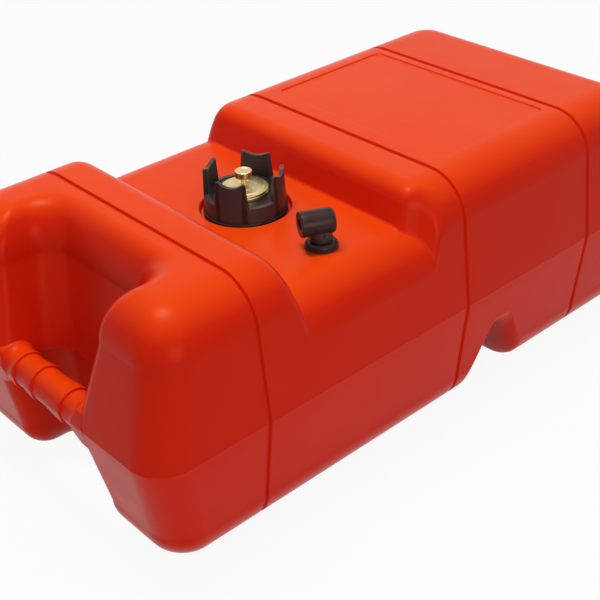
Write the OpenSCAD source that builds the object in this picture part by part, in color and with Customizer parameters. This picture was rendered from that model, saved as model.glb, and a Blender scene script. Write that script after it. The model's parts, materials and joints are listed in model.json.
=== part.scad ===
// Portable fuel tank for an outboard motor: a blow-moulded shell with two arms and a
// finger-grip handle bar, a vented crown cap and a swivel outlet with its pickup tube.
// Units are millimetres. The origin is the middle of the footprint on the ground:
// +X runs from the handle to the high rear block, +Z is up.

/* [Tank] */
// Length of the tank, handle bar to back wall
tank_length = 686; // [670:1:720]
// Width of the tank at the parting line
tank_width = 356; // [340:1:380]
// Height of the hump and of the rear block
tank_height = 262; // [250:1:275]
// Height of the mould's parting line
parting_height = 130; // [120:1:135]
// Thickness of the moulded wall
wall = 5; // [4:0.5:6]
// Vertical radius of the rounded top edges
top_edge = 46; // [40:1:48]
// Vertical radius of the rounded bottom edges
bottom_edge = 44; // [36:1:46]
// Plan radius of the upright corners at the parting line
plan_corner = 36; // [30:1:40]

/* [Deck between hump and block] */
// Depth of the deck below the hump and the block
deck_drop = 37; // [30:1:42]
// Length of the hump's level top, from the front of the tank
hump_length = 150; // [146:1:154]
// Steepness of the face from the hump down to the deck
hump_angle = 74; // [68:1:76]
// Radius of the edge at the top of the hump's face
hump_edge = 20; // [16:1:22]
// Radius of the fillet at the foot of the hump's face
hump_foot = 10; // [6:1:12]
// Distance from the front of the tank to the foot of the rear block
block_start = 315; // [312:1:316]
// Steepness of the face from the deck up to the rear block
block_angle = 72; // [68:1:76]
// Radius of the edge at the top of the block's face
block_edge = 22; // [18:1:23]
// Radius of the fillet at the foot of the block's face
block_foot = 5; // [3:0.5:5]
// Distance by which the block's front corners are swept back
block_corner = 15; // [8:1:16]

/* [Moulded grooves] */
// Distance of the front groove from the front of the tank
groove_front = 122; // [119:1:124]
// Distance of the middle groove from the front of the tank
groove_middle = 378; // [374:1:384]
// Distance of the rear groove from the front of the tank
groove_rear = 568; // [550:1:580]
// Width of a groove's floor
groove_floor = 2.4; // [2:0.2:4]
// Width of a groove's rounded lip on each side
groove_lip = 1.9; // [1.5:0.1:2.5]
// Depth of a groove
groove_depth = 3; // [2:0.25:3]

/* [Hand notch] */
// Width of the notch between the arms at the parting line
notch_width = 116; // [110:1:120]
// Depth of the notch behind the front of the tank
notch_depth = 64; // [62:1:66]
// Plan radius of the notch's inner corners
notch_corner = 28; // [20:1:30]

/* [Handle bar] */
// Largest diameter of the bar
bar_diameter = 37; // [34:0.5:40]
// Step in radius between two finger grips
grip_step = 2; // [1:0.25:3]
// Width of the widest finger grip
grip_width = 47; // [44:0.5:48]
// Width of the narrow finger grip beside it
narrow_grip_width = 30; // [28:0.5:32]
// Distance of the bar's axis below the parting line
bar_below_parting = 3; // [0:0.5:6]

/* [Arch under the tank] */
// Distance of the arch's middle from the front of the tank
arch_middle = 439; // [434:1:446]
// Height of the arch above the ground
arch_height = 78; // [60:1:80]
// Width of the arch at the ground
arch_width = 92; // [84:1:96]
// Length of each flank of the arch
arch_flank = 38; // [32:1:40]

/* [Filler neck] */
// Distance of the filler from the front of the tank
filler_place = 252; // [248:1:258]
// Diameter of the recess round the cap
well_diameter = 88; // [87:0.5:92]
// Depth of the recess round the cap
well_depth = 7; // [5:0.5:8]
// Bore of the filler neck
neck_bore = 53; // [48:0.5:54]
// Wall of the filler neck over its thread
neck_wall = 5.5; // [4.5:0.5:6]
// Height of the neck above the floor of the recess
neck_height = 14.5; // [12:0.5:16]

/* [Cap] */
// Outer diameter of the cap at its foot
cap_diameter = 82; // [80:0.5:83]
// Height of the crown, foot to finger tips
cap_height = 46; // [44:0.5:50]
// Amount by which the crown narrows in radius towards its tips
cap_taper = 1.6; // [0.5:0.1:2.4]
// Thickness of the crown's fingers
finger_wall = 3.8; // [3:0.1:4]
// Angle that one finger takes of the circle
finger_angle = 50; // [44:1:56]
// Depth of the hollow in a finger's top
finger_hollow = 4; // [2.5:0.25:5]
// Width of the shoulder beside the hollow in a finger's top
finger_shoulder = 5.5; // [4:0.5:7]
// Number of crown fingers
fingers = 4; // [3:1:5]
// Height of the sill left in each gap between two fingers
gap_sill = 0.8; // [0.5:0.1:1.5]
// Thickness of the web that closes the cap
web_thickness = 3.5; // [3:0.25:4]
// Thickness of the gasket on the neck
gasket_thickness = 3; // [2:0.25:4]

/* [Vent] */
// Diameter of the vent drum
drum_diameter = 46; // [42:0.5:50]
// Height of the vent drum
drum_height = 6.5; // [6:0.25:8]
// Diameter of the vent screw's knob
knob_diameter = 16.5; // [14:0.5:18]
// Thickness of the vent screw's knob
knob_height = 7; // [6:0.5:8]
// Height of the knob above the drum
knob_lift = 9.5; // [8:0.5:10]
// Diameter of the vent screw's stem
stem_diameter = 6; // [5:0.25:6.5]
// Travel of the vent screw when it is opened
vent_travel = 3; // [2:0.25:3]

/* [Outlet] */
// Distance of the outlet from the front of the tank
outlet_place = 248.5; // [246:0.5:254]
// Distance of the outlet inwards from the tank's side at the parting line
outlet_inset = 67; // [67:0.5:72]
// Direction in which the outlet elbow points, anticlockwise from +X
outlet_heading = 154; // [0:1:360]
// Diameter of the elbow's barrel
barrel_diameter = 24; // [22:0.5:26]
// Length of the elbow's barrel from the stem's axis to its mouth
barrel_reach = 20; // [18:0.5:23]
// Height of the barrel's axis above the deck
barrel_height = 25.5; // [25:0.5:28]
// Bore of the outlet port
port_bore = 12; // [10:0.5:13]
// Depth of the outlet port
port_depth = 12; // [10:0.5:13]
// Diameter of the gland nut's flange
flange_diameter = 31; // [29:0.5:32]
// Diameter of the elbow's swivel spigot
spigot_diameter = 13; // [12:0.25:14]

/* [Pickup] */
// Outer diameter of the pickup tube
tube_diameter = 11; // [10.5:0.25:12]
// Wall of the pickup tube
tube_wall = 1.5; // [1.25:0.25:2]
// Height of the strainer's foot above the tank floor
pickup_gap = 5; // [3:0.5:8]
// Outer diameter of the strainer
strainer_diameter = 20; // [18:0.5:22]
// Height of the strainer's mesh
strainer_height = 30; // [24:1:40]

/* [Hidden] */
// Radial clearance of a shaft that turns in a hole
running_gap = 0.05;
// Clearance between curved faces that pass each other freely
free_gap = 0.5;
// Overlap that lets one cut pass cleanly through a face
cut = 1;
$fn = 96;

// Places along the tank
front_x = -tank_length / 2;
back_x = tank_length / 2;
half_width = tank_width / 2;
hump_end_x = front_x + hump_length;
block_x = front_x + block_start;
groove_x = [front_x + groove_front, front_x + groove_middle, front_x + groove_rear];
notch_x = front_x + notch_depth;
arch_front_x = front_x + arch_middle - arch_width / 2;
arch_rear_x = front_x + arch_middle + arch_width / 2;
deck_z = tank_height - deck_drop;

// The faces at the deck's two ends: [steepness, radius at the foot, radius of the edge]
hump_face = [hump_angle, hump_foot, hump_edge];
block_face = [block_angle, block_foot, block_edge];
hump_foot_x = hump_end_x + ramp_run(hump_face);
block_top_x = block_x + ramp_run(block_face);
// Share of the top edge's reach over which the block's front corners are swept back
corner_reach = 0.67;

// How far each face leans in from the parting line up to the top edge's start and down
// to the bottom edge's start, and how far its rounded edge then reaches inwards:
// [lean up, reach of the top edge, lean down, reach of the bottom edge]
side_face = [9, 46, 11, 44];
front_face = [21, 42, 17, 48];
back_face = [3, 38, 6, 44];
notch_face = [20, 27, 8, 26];

// Plan radii that the corners shrink or grow to at the top and at the bottom
outer_corner_end = 8;
lip_corner = 14;
lip_corner_end = 7;
notch_corner_top = 38;
notch_corner_bottom = 22;
// Vertical radius of the bottom edge where it crosses the arch
arch_edge = 15;

// Steps in each quarter-round edge, each plan corner, each flank of the arch and each
// rounded edge at the deck's ends
edge_steps = 7;
corner_steps = 6;
slope_steps = 8;
ramp_steps = 5;

function smooth(t) = let (c = min(1, max(0, t))) c * c * (3 - 2 * c);
function mix(a, b, t) = a + (b - a) * t;
function sorted(v) = len(v) < 2 ? v
    : let (p = v[floor(len(v) / 2)])
      concat(sorted([for (e = v) if (e > p + 0.02) e]), [p],
             sorted([for (e = v) if (e < p - 0.02) e]));

// Level length of a face at the deck's end, and its height at distance d from its foot
function ramp_run(face) = (face[1] + face[2]) * sin(face[0])
    + (deck_drop - (face[1] + face[2]) * (1 - cos(face[0]))) / tan(face[0]);
function ramp(d, face) =
    let (run = ramp_run(face), low = face[1] * sin(face[0]), high = face[2] * sin(face[0]))
    d <= 0 ? 0
    : d < low ? face[1] - sqrt(face[1] * face[1] - d * d)
    : d < run - high ? face[1] * (1 - cos(face[0])) + (d - low) * tan(face[0])
    : d < run ? deck_drop - face[2] + sqrt(face[2] * face[2] - (run - d) * (run - d))
    : deck_drop;
// Places along a face: three on its foot's fillet, then those on its rounded edge
function ramp_places(face) = concat(
    [for (i = [0:2]) face[1] * sin(face[0] * i / 2)],
    [for (i = [0:ramp_steps]) ramp_run(face) - face[2] * sin(face[0] * (1 - i / ramp_steps))]);

// Height of the top and of the underside at x, for a skin that lies w inside the outside
function top_z(x, w) =
    deck_z + ramp(hump_foot_x - w - x, hump_face) + ramp(x - block_x - w, block_face);
function arch(x, w) = smooth((x - arch_front_x + w) / arch_flank)
    * smooth((arch_rear_x + w - x) / arch_flank);
function under_z(x, w) = arch_height * arch(x, w);
function under_edge(x, w) = mix(bottom_edge, arch_edge, arch(x, w));
// Depth of the grooves at x, from 0 on the skin to 1 on a groove's floor
function groove_at(x) =
    max([for (g = groove_x) 1 - smooth((abs(x - g) - groove_floor / 2) / groove_lip)]);

// A level is [side of the parting line, share of the upright wall, angle round the edge]
function levels() = concat(
    [for (i = [0:edge_steps]) [-1, 1, 90 - 90 * i / edge_steps]],
    [[0, 0, 0]],
    [for (i = [0:edge_steps]) [1, 1, 90 * i / edge_steps]]);
function turn(lv) = 1 - cos(lv[2]);

// Distance of a face inwards from its place at the parting line
function inset(lv, face, w) =
    (lv[0] > 0 ? face[0] : face[2]) * lv[1]
    + (lv[0] > 0 ? face[1] : face[3]) * turn(lv) + w * cos(lv[2]);

// Inset of the side walls, which follows the lower deck and the arch
function side_inset(lv, x, w) =
    let (up = lv[0] > 0,
         full = up ? tank_height - top_edge - parting_height : parting_height - bottom_edge,
         here = up ? top_z(x, w) - top_edge - parting_height
                   : parting_height - under_z(x, w) - under_edge(x, w),
         size = up ? 1 : under_edge(x, w) / bottom_edge)
    (up ? side_face[0] : side_face[2]) * lv[1] * here / full
    + (up ? side_face[1] : side_face[3]) * size * turn(lv) + w * cos(lv[2]);

// Height of a point of a level at x
function level_z(lv, x, w, g) =
    lv[0] == 0 ? parting_height
    : lv[0] > 0 ? top_z(x, w) - top_edge + (top_edge - w - g) * sin(lv[2])
    : under_z(x, w) + under_edge(x, w) - (under_edge(x, w) - w - g) * sin(lv[2]);

// How far a level's point at x moves rearward at the block's swept-back front corners:
// fully along the block's face, then less and less up to the groove behind it
function sweep(lv, x, w) =
    let (end = groove_x[1] - groove_floor / 2 - groove_lip + w, top = block_top_x + w)
    lv[0] <= 0 || x < block_x || x > end ? 0
    : block_corner * max(0, 1 - pow(turn(lv) / corner_reach, 3))
      * min(1, (end - x) / (end - top));

function arc(cx, cy, r, from, to, steps) =
    [for (i = [0:steps]) let (a = mix(from, to, i / steps)) [cx + r * cos(a), cy + r * sin(a)]];

// Half of one closed ring, from the back wall's middle round to the notch's middle
function half_ring(lv, w, depth, stations) =
    let (t = turn(lv), c = w * cos(lv[2]), up = lv[0] > 0,
         xb = back_x - inset(lv, back_face, w),
         xf = front_x + inset(lv, front_face, w),
         xn = notch_x + inset(lv, notch_face, w),
         yn = notch_width / 2 + inset(lv, notch_face, w),
         ys = half_width - inset(lv, side_face, w),
         ro = mix(plan_corner, outer_corner_end, t) - c,
         rl = mix(lip_corner, lip_corner_end, t) - c,
         rn = mix(notch_corner, up ? notch_corner_top : notch_corner_bottom, t) + c,
         flat = concat(
             arc(xb - ro, ys - ro, ro, 0, 90, corner_steps),
             [for (x = stations) [x + sweep(lv, x, w), half_width - side_inset(lv, x, w)
                                     - depth * groove_at(x) * cos(lv[2]), x]],
             arc(xf + ro, ys - ro, ro, 90, 180, corner_steps),
             arc(xf + rl, yn + rl, rl, 180, 270, corner_steps / 2),
             arc(xn - rn, yn - rn, rn, 90, 0, corner_steps)))
    [for (p = flat)
        let (fade = lv[0] < 0 && lv[2] > 89 ? 0 : 1, x = len(p) > 2 ? p[2] : p[0])
        [p[0], p[1], level_z(lv, x, w, depth * fade * groove_at(x))]];

function whole_ring(half) =
    concat(half, [for (i = [len(half) - 1:-1:0]) [half[i][0], -half[i][1], half[i][2]]]);

// Stations along the sides: both ends of the deck, both flanks of the arch, the grooves
function stations(w, depth) = sorted(concat(
    [for (d = ramp_places(hump_face)) hump_foot_x - w - d],
    [for (d = ramp_places(block_face)) block_x + w + d],
    [for (i = [0:slope_steps]) arch_front_x - w + arch_flank * i / slope_steps],
    [for (i = [0:slope_steps]) arch_rear_x + w - arch_flank * i / slope_steps],
    depth == 0 ? [] : [for (g = groove_x) for (side = [-1, 1]) for (k = [0, 0.5, 1])
        g + side * (groove_floor / 2 + groove_lip * k)]));

// Closed skin of the tank, w inside the outer surface, with grooves of the given depth
module skin(w, depth) {
    st = stations(w, depth);
    rings = [for (lv = levels()) whole_ring(half_ring(lv, w, depth, st))];
    n = len(rings[0]);
    top = (len(rings) - 1) * n;
    first = corner_steps + 1;
    last = corner_steps + len(st);
    // The flat rear of a cap, its strips between stations, the strip behind the notch and
    // the two arms, each arm seen whole from its first corner
    cap = concat(
        [[for (i = [0:first]) i, for (i = [n - 1 - first:n - 1]) i]],
        [for (j = [first:last - 1]) [j, j + 1, n - 2 - j, n - 1 - j]],
        [[last, n / 2 - 1, n / 2, n - 1 - last]],
        [[for (i = [last:n / 2 - 1]) i]],
        [[n - 1 - last, for (i = [n / 2:n - 2 - last]) i]]);
    polyhedron(
        points = [for (r = rings) each r],
        faces = concat(
            cap,
            [for (f = cap) [top + f[0], for (i = [len(f) - 1:-1:1]) top + f[i]]],
            [for (k = [0:len(rings) - 2]) for (i = [0:n - 1])
                let (a = k * n + i, b = k * n + (i + 1) % n)
                each [[a + n, b + n, b], [a + n, b, a]]]),
        convexity = 8);
}

/* Filler neck, cap and vent heights */
filler_x = front_x + filler_place;
well_z = deck_z - well_depth;
neck_z = well_z + neck_height;
neck_r = neck_bore / 2 + neck_wall;
cap_r = cap_diameter / 2;
cap_foot_z = well_z + 1;
cap_top_z = cap_foot_z + cap_height;
web_z = neck_z + gasket_thickness;
floor_z = web_z + web_thickness;
crown_r = cap_r - 1;
finger_inner_r = crown_r - cap_taper - finger_wall;
stem_r = stem_diameter / 2;
drum_top_z = floor_z + drum_height;
// Vent seat, valve head and the chamber that the head rises in
seat_ledge = 1.2;
seat_bore_r = stem_r + 0.3;
seat_r = stem_r + 2.6;
seat_thickness = 1.5;
head_r = stem_r + 1.2;
head_thickness = 1.6;
seat_z = web_z + seat_ledge;
head_z = seat_z + seat_thickness;
chamber_r = head_r + 2;
chamber_top_z = head_z + head_thickness + vent_travel + 0.3;
tail_r = stem_r - 1;
clip_thickness = 1.2;
clip_z = web_z - vent_travel - 0.3 - clip_thickness;
clip_r = seat_bore_r + 2;
tail_z = clip_z - 1.2;
o_ring_groove = 0.8;
o_ring_height = 1.2;
o_ring_z = drum_top_z - 2.1;

/* Outlet and pickup heights */
outlet_x = front_x + outlet_place;
outlet_y = -(half_width - outlet_inset);
spigot_r = spigot_diameter / 2;
shank_r = spigot_r + 2.5;
bush_r = shank_r + 3;
pad_r = bush_r + 8;
pad_z = deck_z - wall - 7;
gasket_sheet = 1.2;
flange_thickness = 3;
dome_height = 2.6;
dome_r = spigot_r + 6;
flange_z = deck_z + gasket_sheet;
dome_z = flange_z + flange_thickness + dome_height;
shank_z = pad_z + 2;
barrel_z = deck_z + barrel_height;
barrel_r = barrel_diameter / 2;
collar_r = barrel_r - 1.5;
collar_z = dome_z + 0.3;
circlip_thickness = 1.2;
circlip_z = shank_z - 0.3 - circlip_thickness;
circlip_groove_r = spigot_r - 1.2;
spigot_z = circlip_z - 1.5;
barb_length = 16;
tube_bore_r = tube_diameter / 2 - tube_wall;
barb_z = spigot_z - barb_length;
fuel_way_r = tube_bore_r - 1.4;
tube_top_z = spigot_z - 1;
tube_clip_height = 7;
tube_clip_z = tube_top_z - 3 - tube_clip_height;
elbow_ring_groove = 1.4;
elbow_ring_height = 2.2;
strainer_foot_z = wall + pickup_gap;
strainer_r = strainer_diameter / 2;
strainer_end = 3;
collar_height = 9;
mesh_wall = 0.8;
mesh_z = strainer_foot_z + strainer_end;
strainer_top_z = mesh_z + strainer_height;
tube_foot_z = strainer_top_z - 4;
cage_bars = 4;
cage_bar_width = 2.4;

module tank_colour() { color([0.86, 0.10, 0.04]) children(); }
module black_plastic() { color([0.07, 0.06, 0.06]) children(); }
module champagne_metal() { color([0.74, 0.69, 0.52]) children(); }
module steel() { color([0.62, 0.63, 0.65]) children(); }
module brass() { color([0.78, 0.62, 0.32]) children(); }
module rubber() { color([0.12, 0.12, 0.12]) children(); }
module clear_plastic() { color([0.82, 0.80, 0.72]) children(); }

module at_filler() { translate([filler_x, 0, 0]) children(); }
module at_outlet() { translate([outlet_x, outlet_y, 0]) children(); }
module tube(r_out, r_in, z0, z1) {
    translate([0, 0, z0]) difference() {
        cylinder(r = r_out, h = z1 - z0);
        translate([0, 0, -cut]) cylinder(r = r_in, h = z1 - z0 + 2 * cut);
    }
}

// Finger grips: the bar swells towards each step, and flares where it joins the arms
bar_r = bar_diameter / 2;
bar_x = front_x + bar_r;
bar_z = parting_height - bar_below_parting;
bar_half = notch_width / 2 + wall - 0.8;
bar_end = notch_width / 2 + lip_corner;
bar_flare = 5;
flare_length = 13;
grip_lines = [grip_width / 2 + narrow_grip_width - 12, grip_width / 2 - 12, -grip_width / 2 - 12];
function bar_swell(y, from, to) =
    bar_r - grip_step * (1 - smooth((from - y) / (from - to) * 1.35 - 0.3))
    + bar_flare * pow(max(0, 1 - (bar_half - abs(y)) / flare_length), 2);
function bar_profile() =
    let (marks = concat([bar_half], grip_lines, [-bar_half]), steps = 8)
    [for (k = [0:len(marks) - 2]) for (i = [0:steps])
        let (y = mix(marks[k] - (k > 0 ? 0.4 : 0), marks[k + 1] + (k < 3 ? 0.4 : 0), i / steps))
        [bar_swell(y, marks[k], marks[k + 1]), y]];

// The flared ends run on into the arms and are cut flush with the arms' leaning fronts
module handle_bar() {
    profile = bar_profile();
    end_r = profile[0][0];
    rear_x = bar_x + bar_r + bar_flare + cut;
    top = tank_height - top_edge;
    intersection() {
        translate([bar_x, 0, bar_z]) rotate([-90, 0, 0]) rotate_extrude()
            polygon(concat([[0, bar_end], [end_r, bar_end]], profile,
                           [[end_r, -bar_end], [0, -bar_end]]));
        translate([0, bar_end + cut, 0]) rotate([90, 0, 0])
            linear_extrude(height = 2 * (bar_end + cut))
                polygon([[front_x, parting_height], [front_x + front_face[2], bottom_edge],
                         [rear_x, bottom_edge], [rear_x, top], [front_x + front_face[0], top]]);
    }
}

module well_cut() {
    rim = 2;
    rotate_extrude() polygon([[0, well_z], [well_diameter / 2, well_z],
        [well_diameter / 2, deck_z - rim], [well_diameter / 2 + rim, deck_z],
        [well_diameter / 2 + rim, deck_z + cut], [0, deck_z + cut]]);
}

module tank_shell() {
    tank_colour() difference() {
        union() {
            difference() {
                union() {
                    difference() {
                        skin(0, groove_depth);
                        skin(wall, 0);
                    }
                    at_filler() translate([0, 0, well_z - wall])
                        cylinder(r = well_diameter / 2 + wall, h = well_depth + wall / 2);
                    at_outlet() translate([0, 0, pad_z])
                        cylinder(r = pad_r, h = deck_z - wall / 2 - pad_z);
                }
                at_filler() well_cut();
            }
            at_filler() translate([0, 0, well_z - wall / 2])
                cylinder(r = neck_r, h = neck_height + wall / 2);
            handle_bar();
        }
        at_filler() translate([0, 0, well_z - wall - cut])
            cylinder(d = neck_bore, h = neck_height + wall + 2 * cut);
        at_outlet() translate([0, 0, pad_z - cut])
            cylinder(r = bush_r, h = deck_z - pad_z + 2 * cut);
    }
}

// Crown cap: a skirt over the neck, a web, and fingers with hollowed tops
module filler_cap() {
    foot = 4.5;
    hollow_chord = 2 * (crown_r * sin(finger_angle / 2) - finger_shoulder);
    hollow_r = (pow(hollow_chord / 2, 2) + pow(finger_hollow, 2)) / (2 * finger_hollow);
    gap = 360 / fingers - finger_angle;
    black_plastic() at_filler() difference() {
        rotate_extrude() polygon([
            [seat_bore_r, web_z], [neck_r + free_gap, web_z], [neck_r + free_gap, cap_foot_z],
            [cap_r - 0.6, cap_foot_z], [cap_r, cap_foot_z + 0.6], [cap_r, cap_foot_z + foot],
            [crown_r, cap_foot_z + foot + 0.8], [crown_r - cap_taper, cap_top_z],
            [finger_inner_r, cap_top_z], [finger_inner_r, floor_z], [seat_r, floor_z],
            [seat_r, seat_z], [seat_bore_r, seat_z]]);
        for (i = [0:fingers - 1])
            rotate([0, 0, 30 + 360 / fingers * (i + 0.5)]) crown_gap(gap);
        for (i = [0:fingers - 1])
            rotate([0, 0, 30 + 360 / fingers * i])
                translate([crown_r / 2, 0, cap_top_z - finger_hollow + hollow_r])
                    rotate([0, 90, 0]) cylinder(r = hollow_r, h = cap_r);
    }
}

// Opening between two fingers, a little narrower at its foot
module crown_gap(angle) {
    top_half = crown_r * tan(angle / 2);
    foot_half = top_half - 2;
    translate([finger_inner_r - 6, 0, 0]) rotate([90, 0, 90])
        linear_extrude(height = cap_r)
            polygon([[-foot_half, floor_z + gap_sill], [foot_half, floor_z + gap_sill],
                     [top_half, cap_top_z + cut], [-top_half, cap_top_z + cut]]);
}

module cap_gasket() {
    rubber() at_filler() tube(neck_r, neck_bore / 2 - 0.8, neck_z, web_z);
}

// Metal drum over the vent valve, with a raised plateau and a boss for the screw
module vent_drum() {
    drum_r = drum_diameter / 2;
    plateau = 0.8;
    champagne_metal() at_filler() difference() {
        rotate_extrude() polygon([
            [chamber_r, floor_z], [drum_r, floor_z], [drum_r, floor_z + 3],
            [drum_r - 0.6, floor_z + 3.3], [drum_r - 0.6, floor_z + 3.9],
            [drum_r, floor_z + 4.2], [drum_r, drum_top_z - plateau - 0.7],
            [drum_r - 0.7, drum_top_z - plateau], [drum_r - 4, drum_top_z - plateau],
            [drum_r - 4.8, drum_top_z], [stem_r + running_gap, drum_top_z],
            [stem_r + running_gap, chamber_top_z], [chamber_r, chamber_top_z]]);
    }
}

module vent_seat() {
    rubber() at_filler() tube(seat_r, seat_bore_r, seat_z, head_z);
}

// Vent screw: knob, threaded stem, ring groove, valve head and thin tail
module vent_screw() {
    knob_r = knob_diameter / 2;
    knob_z = drum_top_z + knob_lift;
    groove_r = stem_r - o_ring_groove;
    champagne_metal() at_filler() rotate_extrude() polygon([
        [0, tail_z], [tail_r, tail_z], [tail_r, clip_z], [tail_r - 0.6, clip_z],
        [tail_r - 0.6, clip_z + clip_thickness], [tail_r, clip_z + clip_thickness],
        [tail_r, head_z], [head_r, head_z], [head_r, head_z + head_thickness],
        [stem_r, head_z + head_thickness], [stem_r, o_ring_z], [groove_r, o_ring_z],
        [groove_r, o_ring_z + o_ring_height], [stem_r, o_ring_z + o_ring_height],
        [stem_r, knob_z - 1], [stem_r + 1, knob_z], [knob_r - 1, knob_z], [knob_r, knob_z + 1],
        [knob_r, knob_z + knob_height - 1.2], [knob_r - 1.2, knob_z + knob_height],
        [knob_r - 2.4, knob_z + knob_height], [knob_r - 2.8, knob_z + knob_height - 0.4],
        [0, knob_z + knob_height - 0.4]]);
}

module vent_o_ring() {
    rubber() at_filler() tube(stem_r, stem_r - o_ring_groove + running_gap,
                              o_ring_z + 0.1, o_ring_z + o_ring_height - 0.1);
}

module vent_clip() {
    steel() at_filler() difference() {
        tube(clip_r, tail_r - 0.6, clip_z, clip_z + clip_thickness);
        translate([0, -1, clip_z - cut]) cube([clip_r + cut, 2, clip_thickness + 2 * cut]);
    }
}

// Slotted cup under the web that keeps splashing fuel out of the vent
module splash_baffle() {
    cup_r = neck_bore / 2 - 3;
    cup_wall = 1.5;
    cup_z = tail_z - 4;
    slots = 6;
    black_plastic() at_filler() difference() {
        translate([0, 0, cup_z]) cylinder(r = cup_r, h = web_z - cup_z);
        translate([0, 0, cup_z + cup_wall])
            cylinder(r = cup_r - cup_wall, h = web_z - cup_z);
        for (i = [0:slots - 1])
            rotate([0, 0, i * 360 / slots])
                translate([cup_r - 9, -1.5, cup_z - cut]) cube([5, 3, cup_wall + 2 * cut]);
    }
}

module outlet_bush() {
    brass() at_outlet() tube(bush_r, shank_r, pad_z, deck_z);
}

module flange_gasket() {
    rubber() at_outlet() tube(flange_diameter / 2 - 0.8, shank_r, deck_z, flange_z);
}

// Gland nut: flange and low dome above the deck, shank in the bush, bore for the spigot
module gland_nut() {
    flange_r = flange_diameter / 2;
    black_plastic() at_outlet() rotate_extrude() polygon(concat(
        [[spigot_r + running_gap, shank_z], [shank_r, shank_z], [shank_r, flange_z],
         [flange_r - 0.4, flange_z], [flange_r, flange_z + 0.4],
         [flange_r, flange_z + flange_thickness - 1]],
        [for (a = [0:15:90]) [mix(dome_r, flange_r - 1, cos(a) * cos(a)),
            flange_z + flange_thickness - 1 + (dome_height + 1) * sin(a)]],
        [[spigot_r + running_gap, dome_z]]));
}

// Swivel elbow: barrel with its port, collar, spigot with ring grooves, barb for the tube
module outlet_elbow() {
    ring_r = spigot_r - elbow_ring_groove;
    round_end = 3.5;
    black_plastic() at_outlet() rotate([0, 0, outlet_heading]) difference() {
        union() {
            rotate_extrude() polygon(concat(
                [[0, barb_z], [tube_bore_r - 0.8, barb_z], [tube_bore_r, barb_z + 3],
                 [tube_bore_r, spigot_z], [spigot_r, spigot_z], [spigot_r, circlip_z],
                 [circlip_groove_r, circlip_z], [circlip_groove_r, circlip_z + circlip_thickness],
                 [spigot_r, circlip_z + circlip_thickness]],
                [for (z = elbow_ring_places()) each [[spigot_r, z], [ring_r, z],
                    [ring_r, z + elbow_ring_height], [spigot_r, z + elbow_ring_height]]],
                [[spigot_r, collar_z], [collar_r - 1.5, collar_z], [collar_r, collar_z + 1.5],
                 [collar_r - 0.8, barrel_z - barrel_r * 0.55], [collar_r - 0.8, barrel_z],
                 [0, barrel_z]]));
            translate([0, 0, barrel_z]) rotate([0, 90, 0]) rotate_extrude() polygon(concat(
                [[0, -barrel_r]],
                [for (a = [0:15:90]) [barrel_r - round_end + round_end * sin(a),
                    -barrel_r + round_end - round_end * cos(a)]],
                [[barrel_r, barrel_reach - 0.8], [barrel_r - 0.8, barrel_reach],
                 [0, barrel_reach]]));
        }
        translate([barrel_reach - port_depth, 0, barrel_z]) rotate([0, 90, 0])
            cylinder(d = port_bore, h = port_depth + cut);
        translate([0, 0, barrel_z]) rotate([0, 90, 0])
            cylinder(r = fuel_way_r, h = barrel_reach);
        translate([0, 0, barb_z - cut]) cylinder(r = fuel_way_r, h = barrel_z - barb_z + cut);
    }
}
function elbow_ring_places() = [shank_z + 2.5, shank_z + 7.5];

module elbow_o_rings() {
    rubber() at_outlet() for (z = elbow_ring_places())
        tube(spigot_r, spigot_r - elbow_ring_groove, z, z + elbow_ring_height);
}

module elbow_circlip() {
    steel() at_outlet() difference() {
        tube(shank_r - 0.4, circlip_groove_r, circlip_z, circlip_z + circlip_thickness);
        translate([0, -1.5, circlip_z - cut]) cube([shank_r, 3, circlip_thickness + 2 * cut]);
    }
}

module tube_clip() {
    clip_wall = 1.2;
    ear = 4;
    steel() at_outlet() difference() {
        union() {
            translate([0, 0, tube_clip_z])
                cylinder(r = tube_diameter / 2 + clip_wall, h = tube_clip_height);
            translate([tube_diameter / 2, -2.4, tube_clip_z])
                cube([clip_wall + ear, 4.8, tube_clip_height]);
        }
        translate([0, 0, tube_clip_z - cut])
            cylinder(d = tube_diameter, h = tube_clip_height + 2 * cut);
        translate([tube_diameter / 2 - cut, -1.2, tube_clip_z - cut])
            cube([clip_wall + ear + 2 * cut, 2.4, tube_clip_height + 2 * cut]);
    }
}

module pickup_tube() {
    clear_plastic() at_outlet()
        tube(tube_diameter / 2, tube_bore_r, tube_foot_z, tube_top_z);
}

// Collar that grips the tube and closes the strainer's top
module strainer_collar() {
    black_plastic() at_outlet() rotate_extrude() polygon([
        [tube_diameter / 2, strainer_top_z], [strainer_r, strainer_top_z],
        [strainer_r, strainer_top_z + strainer_end], [tube_diameter / 2 + 2,
        strainer_top_z + collar_height], [tube_diameter / 2, strainer_top_z + collar_height]]);
}

module strainer_mesh() {
    steel() at_outlet() tube(strainer_r - cage_bar_width / 2, strainer_r - cage_bar_width / 2
                             - mesh_wall, mesh_z, strainer_top_z);
}

// Foot plate and upright bars round the mesh
module strainer_cage() {
    black_plastic() at_outlet() {
        translate([0, 0, strainer_foot_z]) cylinder(r = strainer_r, h = strainer_end);
        for (i = [0:cage_bars - 1]) rotate([0, 0, i * 360 / cage_bars]) intersection() {
            tube(strainer_r, strainer_r - cage_bar_width / 2, strainer_foot_z, strainer_top_z);
            translate([0, -cage_bar_width / 2, strainer_foot_z])
                cube([strainer_r + cut, cage_bar_width, strainer_height + strainer_end]);
        }
    }
}

tank_shell();
filler_cap();
cap_gasket();
vent_drum();
vent_seat();
vent_screw();
vent_o_ring();
vent_clip();
splash_baffle();
outlet_bush();
flange_gasket();
gland_nut();
outlet_elbow();
elbow_o_rings();
elbow_circlip();
tube_clip();
pickup_tube();
strainer_collar();
strainer_mesh();
strainer_cage();
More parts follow.
